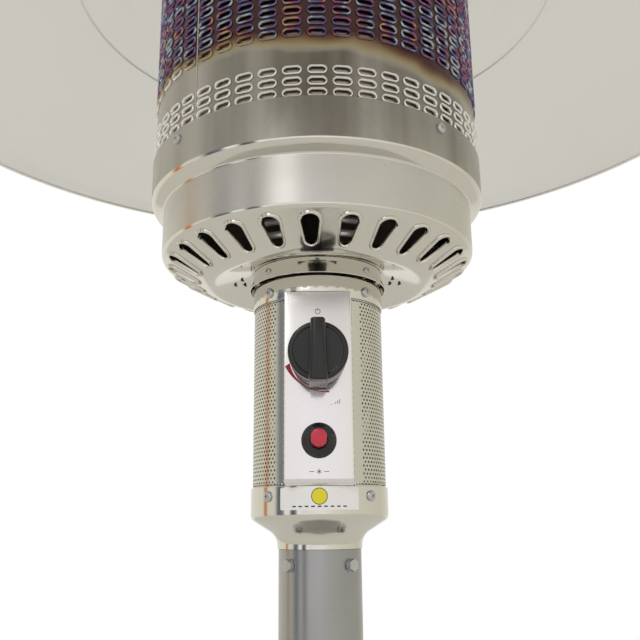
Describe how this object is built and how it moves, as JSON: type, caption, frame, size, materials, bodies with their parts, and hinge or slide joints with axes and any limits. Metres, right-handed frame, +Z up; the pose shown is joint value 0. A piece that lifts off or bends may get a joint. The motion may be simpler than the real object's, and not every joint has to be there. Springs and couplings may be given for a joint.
{
  "type": "outdoor heater",
  "caption": "Free-standing gas patio heater: round base and lift-up tank cover, slim post, control head with knob and igniter, perforated emitter and wide dome reflector.",
  "frame": {"origin": "on the floor, under the middle of the post", "axes": "+Z up along the post; the control panel faces -Y, the wheels are at +Y, +X is to the right seen from the front"},
  "size_m": [0.8126, 0.8126, 2.2041],
  "materials": {
    "black_plastic": "moulded",
    "brass": "machined",
    "brushed_stainless": "brushed",
    "burner_iron": "cast",
    "ceramic": "glazed ceramic",
    "foot_rubber": "matte",
    "heat_stained_stainless": "heat tinted",
    "label_film": "printed film with no text",
    "polished_stainless": "polished",
    "powder_coat": "satin powder coat",
    "red_plastic": "moulded",
    "reflector_aluminium": "satin",
    "satin_stainless": "satin",
    "wheel_plastic": "moulded",
    "wheel_rubber": "matte",
    "zinc_steel": "zinc plated"
  },
  "bodies": {
    "heater_frame": {"base_feet": "foot_rubber", "base_plate": "powder_coat", "bowl_screws": "polished_stainless", "bracket_base_bolts": "zinc_steel", "bracket_flange_bolts": "zinc_steel", "burner_bowl": "polished_stainless", "burner_feed_pipe": "brass", "burner_head": "burner_iron", "burner_jet": "brass", "burner_plate": "zinc_steel", "collar_ring": "polished_stainless", "collar_ring_screws": "polished_stainless", "control_panel": "satin_stainless", "control_sleeve": "satin_stainless", "cup_screws": "polished_stainless", "emitter_screen": "heat_stained_stainless", "emitter_top_plate": "satin_stainless", "gas_tube": "brass", "gas_valve_body": "brass", "igniter_bezel": "black_plastic", "igniter_body": "black_plastic", "igniter_electrode": "ceramic", "igniter_spring": "zinc_steel", "inlet_fitting": "brass", "lower_cup": "polished_stainless", "neck_sleeve": "zinc_steel", "panel_label": "label_film", "pilot_bracket": "zinc_steel", "pilot_burner": "zinc_steel", "pilot_tube": "zinc_steel", "post": "brushed_stainless", "post_bolts": "polished_stainless", "post_flange": "zinc_steel", "reflector": "reflector_aluminium", "reflector_studs": "zinc_steel", "sleeve_top_band": "polished_stainless", "stud_spacers": "zinc_steel", "support_bracket_1": "zinc_steel", "support_bracket_2": "zinc_steel", "support_bracket_3": "zinc_steel", "thermocouple": "brass", "tilt_switch": "black_plastic", "top_band_screws": "polished_stainless", "valve_bracket": "zinc_steel", "venturi": "zinc_steel", "wheel_axle": "zinc_steel", "wheel_bracket": "zinc_steel", "wheel_bracket_bolts": "zinc_steel", "wing_nuts": "zinc_steel"},
    "tank_cover_body": {"tank_cover": "brushed_stainless", "tank_cover_top": "brushed_stainless", "tank_cover_screws": "polished_stainless"},
    "left_wheel": {"wheel_hub_left": "wheel_plastic", "wheel_tyre_left": "wheel_rubber"},
    "right_wheel": {"wheel_hub_right": "wheel_plastic", "wheel_tyre_right": "wheel_rubber"},
    "knob_carrier": {"valve_thrust_collar": "zinc_steel"},
    "knob_body": {"control_knob": "black_plastic", "knob_stem": "brass"},
    "igniter_plunger": {"igniter_button": "red_plastic"}
  },
  "joints": [
    {"name": "tank_cover_lift", "type": "slide", "parent": "heater_frame", "child": "tank_cover_body", "axis": [0, 0, 1], "range_m": [0, 1.12]},
    {"name": "left_wheel_spin", "type": "hinge", "parent": "heater_frame", "child": "left_wheel", "pos_m": [-0.062, 0.286, 0.052], "axis": [1, 0, 0], "continuous": true},
    {"name": "right_wheel_spin", "type": "hinge", "parent": "heater_frame", "child": "right_wheel", "pos_m": [0.062, 0.286, 0.052], "axis": [1, 0, 0], "continuous": true},
    {"name": "knob_push", "type": "slide", "parent": "heater_frame", "child": "knob_carrier", "axis": [0, 1, 0], "range_m": [0, 0.003], "stiffness_N_per_m": 400, "springref_m": -0.003},
    {"name": "knob_turn", "type": "hinge", "parent": "knob_carrier", "child": "knob_body", "pos_m": [0, -0.06, 1.8473], "axis": [0, -1, 0], "range_deg": [0, 210]},
    {"name": "igniter_push", "type": "slide", "parent": "heater_frame", "child": "igniter_plunger", "axis": [0, 1, 0], "range_m": [0, 0.005], "stiffness_N_per_m": 500, "springref_m": -0.002, "deforming": ["igniter_spring"]}
  ]
}
